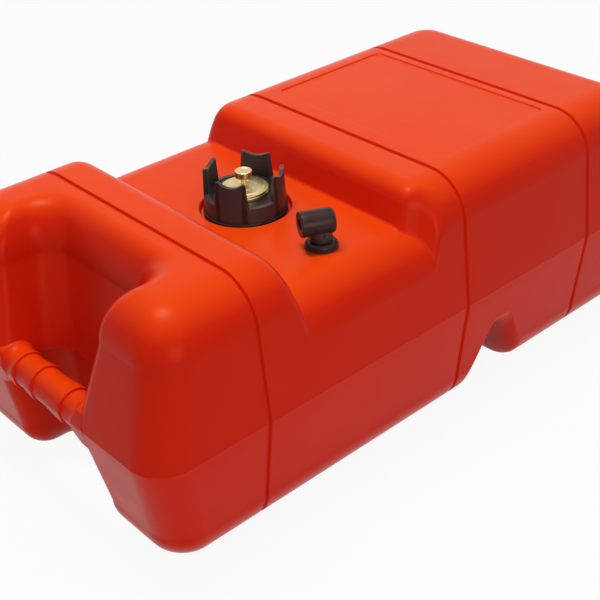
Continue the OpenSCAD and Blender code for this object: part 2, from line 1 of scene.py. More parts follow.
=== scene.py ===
"""Looks of a portable outboard fuel tank: moulded red shell, crown cap, outlet elbow.

Sizes are in millimetres up to the moment a mesh is made, and metres in Blender.
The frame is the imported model's: +X from the handle bar to the high rear block, +Z up.
"""

import json
import math

import bmesh
import bpy
from mathutils import Matrix, Vector
from mathutils.geometry import delaunay_2d_cdt


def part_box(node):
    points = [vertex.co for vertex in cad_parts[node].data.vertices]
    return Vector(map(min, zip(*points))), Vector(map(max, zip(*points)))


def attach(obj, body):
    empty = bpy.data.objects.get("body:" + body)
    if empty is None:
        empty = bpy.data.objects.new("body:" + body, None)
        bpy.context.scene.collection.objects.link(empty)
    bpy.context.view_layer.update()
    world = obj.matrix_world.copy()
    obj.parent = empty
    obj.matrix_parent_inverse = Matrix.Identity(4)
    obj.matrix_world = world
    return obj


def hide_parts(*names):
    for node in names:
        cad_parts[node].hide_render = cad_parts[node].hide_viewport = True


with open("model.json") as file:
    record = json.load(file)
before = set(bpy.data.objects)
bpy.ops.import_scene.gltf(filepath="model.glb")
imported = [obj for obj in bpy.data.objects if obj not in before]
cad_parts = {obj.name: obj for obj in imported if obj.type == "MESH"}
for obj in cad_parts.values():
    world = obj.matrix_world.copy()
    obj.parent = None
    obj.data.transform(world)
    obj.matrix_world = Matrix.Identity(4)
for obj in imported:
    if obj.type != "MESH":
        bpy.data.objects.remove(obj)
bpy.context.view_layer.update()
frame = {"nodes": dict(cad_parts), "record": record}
MM = 0.001
rad = math.radians


# ---------------------------------------------------------------- sizes of the shell
def node_box(name):
    """Lowest and highest corner of a node, in millimetres."""
    low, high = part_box(name)
    return Vector(low) / MM, Vector(high) / MM


shell_low, shell_high = node_box("tank_shell")
FRONT_X, BACK_X = shell_low.x, shell_high.x
HALF_WIDTH = shell_high.y
HEIGHT = shell_high.z
PARTING_Z = 130.0
WALL = 5.0
TOP_EDGE, BOTTOM_EDGE = 46.0, 44.0
PLAN_CORNER, OUTER_CORNER_END = 36.0, 8.0
DECK_DROP = 37.0
DECK_Z = HEIGHT - DECK_DROP
# Faces at the deck's two ends: steepness, radius at the foot, radius of the edge
HUMP_FACE, BLOCK_FACE = (74.0, 10.0, 20.0), (72.0, 5.0, 22.0)
HUMP_END_X, BLOCK_X = FRONT_X + 150.0, FRONT_X + 315.0
# How far the block's front corners are swept back, over which share of the top edge
BLOCK_CORNER, CORNER_REACH = 15.0, 0.67
GROOVES = [FRONT_X + 122.0, FRONT_X + 378.0, FRONT_X + 568.0]
GROOVE_FLOOR, GROOVE_LIP, GROOVE_DEPTH = 2.4, 1.9, 3.0
NOTCH_HALF, NOTCH_X, NOTCH_CORNER = 58.0, FRONT_X + 64.0, 28.0
NOTCH_CORNER_TOP, NOTCH_CORNER_BOTTOM = 38.0, 22.0
LIP_CORNER, LIP_CORNER_END = 14.0, 7.0
ARCH_FRONT, ARCH_REAR = FRONT_X + 393.0, FRONT_X + 485.0
ARCH_HEIGHT, ARCH_FLANK, ARCH_EDGE = 78.0, 38.0, 15.0
# Faces of the wall: lean above the parting line, reach of the top edge, lean below it,
# reach of the bottom edge
SIDE_FACE = (9.0, 46.0, 11.0, 44.0)
FRONT_FACE = (21.0, 42.0, 17.0, 48.0)
BACK_FACE = (3.0, 38.0, 6.0, 44.0)
NOTCH_FACE = (20.0, 27.0, 8.0, 26.0)
SEAM_HEIGHT, SEAM_HALF = 0.35, 0.8
LEAST_STATION_GAP = 0.25
PANEL_X, PANEL_HALF_Y, PANEL_CORNER = (FRONT_X + 400.0, FRONT_X + 556.0), 119.0, 7.0
PANEL_DEPTH, PANEL_EDGE = 1.3, 1.5

# The filler: recess in the deck, threaded neck, crown cap, vent drum and vent screw
filler_low, filler_high = node_box("filler_cap")
FILLER = Vector(((filler_low.x + filler_high.x) / 2, 0.0, 0.0))
WELL_R, WELL_DEPTH = 44.0, 7.0
WELL_Z = DECK_Z - WELL_DEPTH
WELL_RIM = 2.0
NECK_Z, NECK_BORE_R, NECK_R, NECK_PITCH = WELL_Z + 14.5, 26.5, 32.0, 4.0
CAP_FOOT, CAP_TOP = filler_low.z, filler_high.z
CAP_R, CROWN_R, FINGER_R = 41.0, 40.0, 34.6
WEB_Z, FLOOR_Z, SEAT_Z = NECK_Z + 3.0, NECK_Z + 6.5, NECK_Z + 4.2
FINGERS, FIRST_FINGER, FINGER_HALF, FINGER_SHOULDER, FINGER_HOLLOW = 4, 30, 25, 5.5, 4.0
DRUM_R, DRUM_BORE_R, DRUM_FOOT = 23.0, 3.05, 243.1
KNOB_R, KNOB_Z, SCREW_R, TAIL_R, TAIL_FOOT = 8.25, FLOOR_Z + 16.0, 3.0, 2.0, 229.8

# The outlet: bush in the deck, gland and swivel elbow
gland_low, gland_high = node_box("gland_nut")
OUTLET = Vector(((gland_low.x + gland_high.x) / 2, (gland_low.y + gland_high.y) / 2, 0.0))
BUSH_R, PAD_R, PAD_Z = 12.0, 15.0, DECK_Z - WALL - 7.0
GLAND_FLANGE_Z, GLAND_R, GLAND_BORE_R = DECK_Z + 1.2, 15.5, 6.55
SPIGOT_R, SPIGOT_FOOT, SPIGOT_Z, COLLAR_Z = 6.5, 196.0, 212.0, 232.1
# Grooves in the spigot for the clip and the two rings: low, high, radius
SPIGOT_GROOVES = [(213.5, 214.7, 5.3), (217.5, 219.7, 5.1), (222.5, 224.7, 5.1)]
BARREL_Z, BARREL_R, BARREL_REACH, HEADING = DECK_Z + 25.5, 12.0, 20.0, 154.0
PORT_R, PORT_START, PASSAGE_R = 6.0, 8.0, 2.6

# The handle bar: radius, height, and where its finger grips meet, from +Y to -Y
BAR_R, BAR_Z = 18.5, PARTING_Z - 3.0
GRIP_ENDS = [41.5, 11.5, -35.5]


# ---------------------------------------------------------------- helpers
def smooth(t):
    """Soft step from 0 to 1, held outside that stretch."""
    c = min(1.0, max(0.0, t))
    return c * c * (3 - 2 * c)


def mix(a, b, t):
    """The value at the share t of the way from a to b."""
    return a + (b - a) * t


def arc(cx, cy, r, start, end, steps):
    """Points on an arc in the plane, angles in degrees."""
    return [(cx + r * math.cos(rad(mix(start, end, i / steps))),
             cy + r * math.sin(rad(mix(start, end, i / steps)))) for i in range(steps + 1)]


def raw_object(name, bm):
    """Turns a bmesh in millimetres into an object in metres."""
    bmesh.ops.scale(bm, vec=(MM, MM, MM), verts=bm.verts)
    bmesh.ops.recalc_face_normals(bm, faces=bm.faces)
    mesh = bpy.data.meshes.new(name)
    bm.to_mesh(mesh)
    bm.free()
    obj = bpy.data.objects.new(name, mesh)
    bpy.context.scene.collection.objects.link(obj)
    return obj


def dress(obj, slot_name, body, node, sharp=40.0):
    """Shades an object, puts it on its body and lets it stand for its CAD node."""
    obj.data.materials.clear()
    obj.data.materials.append(SLOT_MATERIALS[slot_name])
    obj.data.shade_smooth()
    obj.data.set_sharp_from_angle(angle=rad(sharp))
    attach(obj, body)
    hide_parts(node)
    return obj


def carve(obj, tools, operation="DIFFERENCE"):
    """Joins or cuts an object with others, which are used up."""
    for tool in tools:
        change = obj.modifiers.new("carve", "BOOLEAN")
        change.operation, change.solver, change.object = operation, "EXACT", tool
    result = bpy.context.evaluated_depsgraph_get()
    mesh = bpy.data.meshes.new_from_object(obj.evaluated_get(result))
    obj.modifiers.clear()
    obj.data = mesh
    for tool in tools:
        bpy.data.objects.remove(tool)


def turned_piece(name, profile, centre, slot_name, body, node, steps):
    """A turned body or ring made from its rounded profile."""
    bm = bmesh.new()
    lathe(bm, profile, centre, steps)
    dress(raw_object(name, bm), slot_name, body, node)


def add_bevel(obj, width, angle):
    """Rounds the edges that are sharper than an angle."""
    bevel = obj.modifiers.new("edge_round", "BEVEL")
    bevel.width = width * MM
    bevel.segments = 3
    bevel.limit_method = "ANGLE"
    bevel.angle_limit = rad(angle)
    bevel.harden_normals = True


def circle(bm, centre, r, z, steps):
    """A ring of vertices. The radius may be a function of the angle."""
    ring = []
    for k in range(steps):
        a = 2 * math.pi * k / steps
        here = r(a) if callable(r) else r
        ring.append(bm.verts.new((centre.x + here * math.cos(a),
                                  centre.y + here * math.sin(a), z)))
    return ring


def lathe(bm, profile, centre, steps, matrix=None):
    """Turns a profile of (radius, height) about the vertical through centre.

    A radius may be a function of the angle. A profile that starts and ends on the axis
    makes a full body, and any other is joined up into a ring.
    """
    rings = []
    for r, z in profile:
        if not callable(r) and r < 1e-6:
            rings.append([bm.verts.new((0, 0, z))])
        else:
            rings.append(circle(bm, Vector((0, 0, 0)), r, z, steps))
    for a, b in zip(rings, rings[1:]):
        bridge(bm, a, b, steps)
    if len(rings[0]) > 1 and len(rings[-1]) > 1:
        bridge(bm, rings[-1], rings[0], steps)
    place = Matrix.Translation(centre) @ (matrix or Matrix.Identity(4))
    verts = [v for ring in rings for v in ring]
    bmesh.ops.transform(bm, matrix=place, verts=verts)
    return verts


def bridge(bm, a, b, steps):
    """Faces between two rings, either of which may be one point."""
    for k in range(steps):
        n = (k + 1) % steps
        if len(a) == 1 and len(b) == 1:
            return
        if len(a) == 1:
            bm.faces.new((a[0], b[k], b[n]))
        elif len(b) == 1:
            bm.faces.new((a[k], a[n], b[0]))
        else:
            bm.faces.new((a[k], a[n], b[n], b[k]))


def rounded(points, radius, steps=4, closed=False):
    """A polyline with its corners replaced by short arcs of about that radius.

    An open one keeps its two ends.
    """
    if closed:
        points = [points[-1], *points, points[0]]
    out = [] if closed else [points[0]]
    for before, here, after in zip(points, points[1:], points[2:]):
        p, a, b = Vector(here), Vector(before), Vector(after)
        to_a, to_b = a - p, b - p
        reach = min(radius, to_a.length * 0.45, to_b.length * 0.45)
        start, end = p + to_a.normalized() * reach, p + to_b.normalized() * reach
        for i in range(steps + 1):
            t = i / steps
            q = start * (1 - t) ** 2 + p * 2 * t * (1 - t) + end * t ** 2
            out.append((q.x, q.y))
    return out if closed else out + [points[-1]]


def thread(root, crest, low, high, pitch, rows=12):
    """Profile rows of a helical thread that fades out at both ends."""
    def radius(height):
        def at(angle):
            turn = (((height - low) / pitch - angle / (2 * math.pi)) % 1.0 - 0.5) * 2
            fade = smooth((height - low) * 2 / pitch) * smooth((high - height) * 2 / pitch)
            return root + (crest - root) * smooth((0.62 - abs(turn)) / 0.4) * fade
        return at
    count = round((high - low) / pitch * rows)
    heights = [mix(low, high, i / count) for i in range(count + 1)]
    return [(radius(h), h) for h in heights]


# ---------------------------------------------------------------- materials
def new_material(name):
    """A node material, its tree and its Principled shader."""
    material = bpy.data.materials.new(name)
    material.use_nodes = True
    tree = material.node_tree
    return material, tree, tree.nodes["Principled BSDF"]


def add_node(tree, kind, **values):
    """A node with some of its inputs or settings given."""
    node = tree.nodes.new(kind)
    for key, value in values.items():
        if key in node.inputs:
            node.inputs[key].default_value = value
        else:
            setattr(node, key, value)
    return node


def noise(tree, scale, detail, rough, vector):
    """The height of a noise texture."""
    node = add_node(tree, "ShaderNodeTexNoise", Scale=scale, Detail=detail, Roughness=rough)
    tree.links.new(vector, node.inputs["Vector"])
    return node.outputs[0]


def remap(tree, value, low, high, to_low, to_high):
    """A value moved from one stretch of numbers to another."""
    node = tree.nodes.new("ShaderNodeMapRange")
    for key, number in zip(("From Min", "From Max", "To Min", "To Max"),
                           (low, high, to_low, to_high)):
        node.inputs[key].default_value = number
    tree.links.new(value, node.inputs["Value"])
    return node.outputs["Result"]


def mix_colour(tree, factor, a, b):
    """A blend of two colours, each written out or taken from another node."""
    node = add_node(tree, "ShaderNodeMix", data_type="RGBA")
    tree.links.new(factor, node.inputs[0])
    for socket, value in ((node.inputs[6], a), (node.inputs[7], b)):
        if isinstance(value, tuple):
            socket.default_value = (*value, 1.0)
        else:
            tree.links.new(value, socket)
    return node.outputs[2]


def bump(tree, height, strength, distance, normal=None):
    """A normal roughened by a height, over another one if given. Distance is in mm."""
    node = add_node(tree, "ShaderNodeBump", Strength=strength, Distance=distance * MM)
    tree.links.new(height, node.inputs["Height"])
    if normal:
        tree.links.new(normal, node.inputs["Normal"])
    return node.outputs["Normal"]


def shell_material():
    """Satin blow-moulded polyethylene: orange-red, with painted light that makes it lighter and
    more orange where it faces up.
    """
    material, tree, shader = new_material("red_hdpe")
    coords = tree.nodes.new("ShaderNodeTexCoord").outputs["Object"]
    facing = tree.nodes.new("ShaderNodeSeparateXYZ")
    tree.links.new(tree.nodes.new("ShaderNodeNewGeometry").outputs["Normal"],
                   facing.inputs[0])
    # Painted light: faces turned up get a lighter, more orange base colour, as if lit from above.
    painted_top_light = remap(tree, facing.outputs["Z"], 0.55, 1.0, 0.0, 1.0)
    base = mix_colour(tree, painted_top_light, (0.62, 0.014, 0.003), (0.86, 0.062, 0.003))
    cloud = remap(tree, noise(tree, 9.0, 4.0, 0.6, coords), 0.3, 0.7, 0.0, 0.25)
    base = mix_colour(tree, cloud, base, (0.72, 0.022, 0.002))
    tree.links.new(base, shader.inputs["Base Color"])
    patch = noise(tree, 30.0, 5.0, 0.6, coords)
    tree.links.new(remap(tree, patch, 0.3, 0.7, 0.28, 0.34), shader.inputs["Roughness"])
    shader.inputs["Specular IOR Level"].default_value = 0.08
    shader.inputs["Specular Tint"].default_value = (1.0, 0.85, 0.45, 1.0)
    ripple = bump(tree, noise(tree, 60.0, 2.0, 0.4, coords), 0.25, 0.5)
    peel = bump(tree, noise(tree, 700.0, 2.0, 0.5, coords), 0.18, 0.12, ripple)
    tree.links.new(peel, shader.inputs["Normal"])
    shader.inputs["IOR"].default_value = 1.5
    shader.inputs["Subsurface Weight"].default_value = 0.08
    shader.inputs["Subsurface Radius"].default_value = (1.0, 0.25, 0.12)
    shader.inputs["Subsurface Scale"].default_value = 0.003
    return material


def black_material():
    """Satin black nylon with fine grain, a warm cast that paints a reflection of the red tank,
    and a painted highlight on its sharp edges and corners.
    """
    material, tree, shader = new_material("black_plastic")
    coords = tree.nodes.new("ShaderNodeTexCoord").outputs["Object"]
    # Painted highlight: sharp edges and corners get a lighter grey base colour.
    edge = remap(tree, tree.nodes.new("ShaderNodeNewGeometry").outputs["Pointiness"],
                 0.52, 0.62, 0.0, 0.5)
    cloud = noise(tree, 70.0, 4.0, 0.6, coords)
    # Both colours carry a warm cast, a painted reflection of the red tank.
    base = mix_colour(tree, remap(tree, cloud, 0.35, 0.7, 0.0, 1.0),
                      (0.020, 0.012, 0.011), (0.034, 0.022, 0.020))
    base = mix_colour(tree, edge, base, (0.085, 0.070, 0.064))
    tree.links.new(base, shader.inputs["Base Color"])
    tree.links.new(remap(tree, cloud, 0.3, 0.7, 0.26, 0.36), shader.inputs["Roughness"])
    shader.inputs["Specular IOR Level"].default_value = 0.22
    shader.inputs["Specular Tint"].default_value = (1.0, 0.60, 0.48, 1.0)
    grain = bump(tree, noise(tree, 1600.0, 2.0, 0.5, coords), 0.15, 0.06)
    wave = bump(tree, noise(tree, 120.0, 2.0, 0.4, coords), 0.2, 0.15, grain)
    tree.links.new(wave, shader.inputs["Normal"])
    return material


def metal_material(name, light, dark, rough, turned=None):
    """Plated or bare metal with fine scratches, and turning marks round an axis."""
    material, tree, shader = new_material(name)
    coords = tree.nodes.new("ShaderNodeTexCoord").outputs["Object"]
    cloud = noise(tree, 160.0, 5.0, 0.65, coords)
    base = mix_colour(tree, remap(tree, cloud, 0.35, 0.68, 0.0, 1.0), dark, light)
    tree.links.new(base, shader.inputs["Base Color"])
    shader.inputs["Metallic"].default_value = 1.0
    tree.links.new(remap(tree, cloud, 0.3, 0.7, rough * 0.8, rough * 1.25),
                   shader.inputs["Roughness"])
    scratch = bump(tree, noise(tree, 900.0, 3.0, 0.7, coords), 0.12, 0.04)
    if turned:
        shift = add_node(tree, "ShaderNodeMapping")
        shift.inputs["Location"].default_value = (-turned.x * MM, -turned.y * MM, 0.0)
        tree.links.new(coords, shift.inputs["Vector"])
        rings = add_node(tree, "ShaderNodeTexWave", wave_type="RINGS",
                         rings_direction="Z", Scale=420.0, Distortion=0.6)
        tree.links.new(shift.outputs[0], rings.inputs["Vector"])
        scratch = bump(tree, rings.outputs["Fac"], 0.22, 0.03, scratch)
    tree.links.new(scratch, shader.inputs["Normal"])
    return material


def plain_plastic(name, light, dark, low_rough, high_rough, grain_scale):
    """Rubber and natural nylon: soft mottling and a fine grain."""
    material, tree, shader = new_material(name)
    coords = tree.nodes.new("ShaderNodeTexCoord").outputs["Object"]
    cloud = noise(tree, 120.0, 4.0, 0.6, coords)
    base = mix_colour(tree, remap(tree, cloud, 0.35, 0.68, 0.0, 1.0), dark, light)
    tree.links.new(base, shader.inputs["Base Color"])
    tree.links.new(remap(tree, cloud, 0.3, 0.7, low_rough, high_rough),
                   shader.inputs["Roughness"])
    grain = bump(tree, noise(tree, grain_scale, 2.0, 0.5, coords), 0.3, 0.05)
    tree.links.new(grain, shader.inputs["Normal"])
    return material


def mesh_material():
    """Woven strainer mesh: crossed wires as bump, with painted shade in the gaps between them."""
    material, tree, shader = new_material("steel_mesh")
    coords = tree.nodes.new("ShaderNodeTexCoord").outputs["Object"]
    wires = []
    for direction in ("Z", "X"):
        wave = add_node(tree, "ShaderNodeTexWave", bands_direction=direction, Scale=320.0)
        tree.links.new(coords, wave.inputs["Vector"])
        wires.append(wave.outputs["Fac"])
    cross = add_node(tree, "ShaderNodeMath", operation="MAXIMUM")
    tree.links.new(wires[0], cross.inputs[0])
    tree.links.new(wires[1], cross.inputs[1])
    # Painted shade: the gaps between the wires are dark, standing in for the shade seen through
    # them.
    base = mix_colour(tree, cross.outputs[0], (0.10, 0.10, 0.11), (0.62, 0.63, 0.64))
    tree.links.new(base, shader.inputs["Base Color"])
    shader.inputs["Metallic"].default_value = 1.0
    shader.inputs["Roughness"].default_value = 0.4
    tree.links.new(bump(tree, cross.outputs[0], 0.8, 0.3), shader.inputs["Normal"])
    return material


RED = shell_material()
BLACK = black_material()
CHAMPAGNE = metal_material("champagne_metal", (0.75, 0.60, 0.30), (0.59, 0.46, 0.21),
                           0.33, FILLER)
BRASS = metal_material("brass", (0.80, 0.64, 0.34), (0.62, 0.46, 0.22), 0.30)
SPRING = metal_material("spring_steel", (0.70, 0.71, 0.73), (0.50, 0.51, 0.53), 0.28)
RUBBER = plain_plastic("rubber", (0.035, 0.034, 0.034), (0.018, 0.018, 0.018),
                       0.55, 0.75, 1800.0)
NYLON = plain_plastic("natural_nylon", (0.80, 0.77, 0.66), (0.70, 0.66, 0.54),
                      0.32, 0.48, 900.0)
MESH = mesh_material()
SLOT_MATERIALS = {"red_hdpe": RED, "black_plastic": BLACK, "champagne_metal": CHAMPAGNE,
                  "brass": BRASS, "spring_steel": SPRING, "rubber": RUBBER,
                  "natural_nylon": NYLON, "steel_mesh": MESH}


def dress_nodes():
    """Gives every CAD node the material of its slot."""
    for part in frame["record"]["subparts"]:
        obj = frame["nodes"][part["node"]]
        obj.data.materials.clear()
        obj.data.materials.append(SLOT_MATERIALS[part["material_slot"]])


# ---------------------------------------------------------------- the moulded shell
def ramp_run(face):
    """Level length of a face at one end of the deck."""
    angle, foot, edge = rad(face[0]), face[1], face[2]
    both = foot + edge
    return both * math.sin(angle) + (DECK_DROP - both * (1 - math.cos(angle))) / math.tan(angle)


def ramp(d, face):
    """Height of a face at the distance d from its foot."""
    angle, foot, edge = rad(face[0]), face[1], face[2]
    run, low, high = ramp_run(face), foot * math.sin(angle), edge * math.sin(angle)
    if d <= 0:
        return 0.0
    if d < low:
        return foot - math.sqrt(foot ** 2 - d ** 2)
    if d < run - high:
        return foot * (1 - math.cos(angle)) + (d - low) * math.tan(angle)
    if d < run:
        return DECK_DROP - edge + math.sqrt(edge ** 2 - (run - d) ** 2)
    return DECK_DROP


def ramp_places(face, foot_steps, edge_steps, face_steps):
    """Distances from the foot along its fillet, the plain face and the rounded edge."""
    angle, foot, edge = rad(face[0]), face[1], face[2]
    low, high = foot * math.sin(angle), ramp_run(face) - edge * math.sin(angle)
    return ([foot * math.sin(angle * i / foot_steps) for i in range(foot_steps + 1)]
            + [mix(low, high, i / face_steps) for i in range(1, face_steps)]
            + [ramp_run(face) - edge * math.sin(angle * (1 - i / edge_steps))
               for i in range(edge_steps + 1)])


HUMP_FOOT_X = HUMP_END_X + ramp_run(HUMP_FACE)
BLOCK_TOP_X = BLOCK_X + ramp_run(BLOCK_FACE)


def top_z(x, w):
    """Height of the skin's top at a place along the tank, w inside the outer surface."""
    return DECK_Z + ramp(HUMP_FOOT_X - w - x, HUMP_FACE) + ramp(x - BLOCK_X - w, BLOCK_FACE)


def arch(x, w):
    """Share of the arch's full height at a place along the tank."""
    return (smooth((x - ARCH_FRONT + w) / ARCH_FLANK)
            * smooth((ARCH_REAR + w - x) / ARCH_FLANK))


def under_z(x, w):
    """Height of the skin's underside, which rises over the arch."""
    return ARCH_HEIGHT * arch(x, w)


def under_edge(x, w):
    """Height of the rounded bottom edge, which is smaller over the arch."""
    return mix(BOTTOM_EDGE, ARCH_EDGE, arch(x, w))


def groove_at(x):
    """Share of the strap grooves' full depth at a place along the tank."""
    return max(1 - smooth((abs(x - g) - GROOVE_FLOOR / 2) / GROOVE_LIP) for g in GROOVES)


class Skin:
    """One closed skin of the shell, w inside the outer surface.

    A level is (side of the parting line, share of the upright wall, angle round the edge,
    height off the parting line, extra inset). Rings run from the underside to the top.
    The outer skin is fine and has the strap grooves and the seam. The inner one is coarse.
    """

    def __init__(self, bm, w, fine):
        self.bm, self.w, self.depth = bm, w, GROOVE_DEPTH if fine else 0.0
        self.edge_steps, self.corner_steps = (20, 18) if fine else (8, 8)
        self.slope_steps = 30 if fine else 8
        self.ramp_steps = (8, 24, 4) if fine else (2, 5, 1)
        self.lip_steps = 5 if fine else 1
        self.columns = 36 if fine else 8
        self.stations = self.make_stations()
        levels = self.make_levels(fine)
        self.rings = [[bm.verts.new(p) for p in self.ring(level)] for level in levels]
        self.count = len(self.rings[0])
        self.first = self.corner_steps + 1
        self.last = self.corner_steps + len(self.stations)
        for low, high in zip(self.rings, self.rings[1:]):
            bridge(bm, low, high, self.count)

    def make_stations(self):
        """Places along the straight sides where the shape changes, from rear to front."""
        w, n = self.w, self.slope_steps
        places = [HUMP_FOOT_X - w - d for d in ramp_places(HUMP_FACE, *self.ramp_steps)]
        places += [BLOCK_X + w + d for d in ramp_places(BLOCK_FACE, *self.ramp_steps)]
        for i in range(n + 1):
            places += [ARCH_FRONT - w + ARCH_FLANK * i / n,
                       ARCH_REAR + w - ARCH_FLANK * i / n]
        if self.depth:
            for g in GROOVES:
                for side in (-1, 1):
                    places += [g + side * (GROOVE_FLOOR / 2 + GROOVE_LIP * k / self.lip_steps)
                               for k in range(self.lip_steps + 1)]
        spread = sorted(places, reverse=True)
        kept = [spread[0]]
        for x in spread[1:]:
            if kept[-1] - x > LEAST_STATION_GAP:
                kept.append(x)
        return kept

    def make_levels(self, fine):
        """The rings' levels: bottom edge, wall, seam, wall, top edge."""
        n = self.edge_steps
        bottom = [(-1, 1.0, 90 - 90 * i / n, 0, 0) for i in range(n + 1)]
        top = [(1, 1.0, 90 * i / n, 0, 0) for i in range(n + 1)]
        wall = [0.75, 0.5, 0.25] if fine else []
        low = [(-1, s, 0, 0, 0) for s in wall]
        high = [(1, s, 0, 0, 0) for s in reversed(wall)]
        if not fine:
            return bottom + low + [(0, 0, 0, 0, 0)] + high + top
        rise = [(6.0, 0.0), (SEAM_HALF, SEAM_HEIGHT), (SEAM_HALF * 0.45, 0.04)]
        bead = [(-1, 0, 0, -dz, drop) for dz, drop in rise]
        bead += [(1, 0, 0, dz, drop) for dz, drop in reversed(rise)]
        return bottom + low + bead + high + top

    def inset(self, level, face):
        """How far a face of even height lies inside the widest outline at a level."""
        up = level[0] > 0
        turn = 1 - math.cos(rad(level[2]))
        share = level[1] + abs(level[3]) / (HEIGHT - TOP_EDGE - PARTING_Z)
        return ((face[0] if up else face[2]) * share
                + (face[1] if up else face[3]) * turn
                + self.w * math.cos(rad(level[2])) + level[4])

    def side_inset(self, level, x):
        """The same for the side, whose height changes along the tank."""
        up, w = level[0] > 0, self.w
        turn = 1 - math.cos(rad(level[2]))
        if up:
            full = HEIGHT - TOP_EDGE - PARTING_Z
            here = top_z(x, w) - TOP_EDGE - PARTING_Z
            lean, reach = SIDE_FACE[0], SIDE_FACE[1]
        else:
            full = PARTING_Z - BOTTOM_EDGE
            here = PARTING_Z - under_z(x, w) - under_edge(x, w)
            lean = SIDE_FACE[2]
            reach = SIDE_FACE[3] * under_edge(x, w) / BOTTOM_EDGE
        return (lean * (level[1] * here + abs(level[3])) / full + reach * turn
                + w * math.cos(rad(level[2])) + level[4])

    def sweep(self, level, x):
        """How far a point moves rearward at the block's swept-back front corners."""
        side, share, angle = level[:3]
        end = GROOVES[1] - GROOVE_FLOOR / 2 - GROOVE_LIP + self.w
        if side <= 0 or not BLOCK_X <= x <= end:
            return 0.0
        turn = 1 - math.cos(rad(angle))
        return (BLOCK_CORNER * share * max(0.0, 1 - (turn / CORNER_REACH) ** 3)
                * min(1.0, (end - x) / (end - BLOCK_TOP_X - self.w)))

    def height(self, level, x, groove):
        """Height of a point of a level, less the groove's depth on the rounded edges."""
        side, share, angle, extra, _ = level
        w, s = self.w, math.sin(rad(angle))
        if extra or side == 0:
            return PARTING_Z + extra
        if side > 0:
            wall_top = top_z(x, w) - TOP_EDGE
            if angle == 0:
                return mix(PARTING_Z, wall_top, share)
            return wall_top + (TOP_EDGE - w - groove) * s
        wall_foot = under_z(x, w) + under_edge(x, w)
        if angle == 0:
            return mix(PARTING_Z, wall_foot, share)
        return wall_foot - (under_edge(x, w) - w - groove) * s

    def ring(self, level):
        """Points of one ring: rear corner, side, front corner, lip, notch, then mirrored."""
        up, cosine = level[0] > 0, math.cos(rad(level[2]))
        c, turn, n = cosine * self.w, 1 - cosine, self.corner_steps
        xb = BACK_X - self.inset(level, BACK_FACE)
        xf = FRONT_X + self.inset(level, FRONT_FACE)
        xn = NOTCH_X + self.inset(level, NOTCH_FACE)
        yn = NOTCH_HALF + self.inset(level, NOTCH_FACE)
        ys = HALF_WIDTH - self.inset(level, SIDE_FACE)
        outer = mix(PLAN_CORNER, OUTER_CORNER_END, turn) - c
        lip = mix(LIP_CORNER, LIP_CORNER_END, turn) - c
        inner = mix(NOTCH_CORNER, NOTCH_CORNER_TOP if up else NOTCH_CORNER_BOTTOM, turn) + c
        flat = [(x, y, x) for x, y in arc(xb - outer, ys - outer, outer, 0, 90, n)]
        flat += [(x + self.sweep(level, x), HALF_WIDTH - self.side_inset(level, x)
                  - self.depth * groove_at(x) * cosine, x) for x in self.stations]
        front = arc(xf + outer, ys - outer, outer, 90, 180, n)
        front += arc(xf + lip, yn + lip, lip, 180, 270, n // 2)
        front += arc(xn - inner, yn - inner, inner, 90, 0, n)
        flat += [(x, y, x) for x, y in front]
        fade = 0 if level[0] < 0 and level[2] > 89 else 1
        half = [(x, y, self.height(level, station, self.depth * fade * groove_at(station)))
                for x, y, station in flat]
        return half + [(x, -y, z) for x, y, z in reversed(half)]

    def grid_rows(self, ring):
        """Columns of points across the cap at every station, sharing the ring's own points."""
        rows = []
        for j in range(self.first, self.last + 1):
            left, right = ring[j], ring[self.count - 1 - j]
            row = [left]
            for k in range(1, self.columns):
                y = mix(left.co.y, right.co.y, k / self.columns)
                row.append(self.bm.verts.new((left.co.x, y, left.co.z)))
            rows.append(row + [right])
        return rows

    def cap(self, ring, holes=()):
        """Closes one end: strips between stations, flat pieces elsewhere.

        holes maps an (x_low, x_high) stretch between two stations to closed loops of
        vertices that the flat piece there leaves open.
        """
        rows = self.grid_rows(ring)
        xs = [row[0].co.x for row in rows]
        skip = set()
        for (low, high), loops in holes:
            a = min(range(len(xs)), key=lambda i: abs(xs[i] - high))
            b = min(range(len(xs)), key=lambda i: abs(xs[i] - low))
            skip.update(range(a, b))
            edge = (rows[a] + [rows[i][-1] for i in range(a + 1, b)]
                    + list(reversed(rows[b])) + [rows[i][0] for i in range(b - 1, a, -1)])
            fill_flat(self.bm, edge, loops)
            for i in range(a + 1, b):
                for v in rows[i][1:-1]:
                    self.bm.verts.remove(v)
        for i, (a, b) in enumerate(zip(rows, rows[1:])):
            if i in skip:
                continue
            for k in range(self.columns):
                self.bm.faces.new((a[k], b[k], b[k + 1], a[k + 1]))
        back = ring[:self.first] + rows[0] + ring[self.count - self.first:]
        fill_flat(self.bm, back, ())
        front = ring[self.last:self.count - self.last] + list(reversed(rows[-1][1:-1]))
        fill_flat(self.bm, front, ())


def fill_flat(bm, edge, holes):
    """Fills a flat outline, which may be notched, leaving loops open."""
    loops = [edge] + list(holes)
    verts = [v for loop in loops for v in loop]
    points = [Vector((v.co.x, v.co.y)) for v in verts]
    edges, start = [], 0
    for loop in loops:
        n = len(loop)
        edges += [(start + i, start + (i + 1) % n) for i in range(n)]
        start += n
    _, _, faces, origins, _, _ = delaunay_2d_cdt(points, edges, [], 1, 1e-6)
    outlines = [[(v.co.x, v.co.y) for v in loop] for loop in loops]
    for face in faces:
        corner = [verts[origins[i][0]] for i in face]
        cx = sum(v.co.x for v in corner) / len(corner)
        cy = sum(v.co.y for v in corner) / len(corner)
        if not inside(cx, cy, outlines[0]) or any(inside(cx, cy, o) for o in outlines[1:]):
            continue
        if len(set(corner)) == len(corner) and not bm.faces.get(corner):
            bm.faces.new(corner)


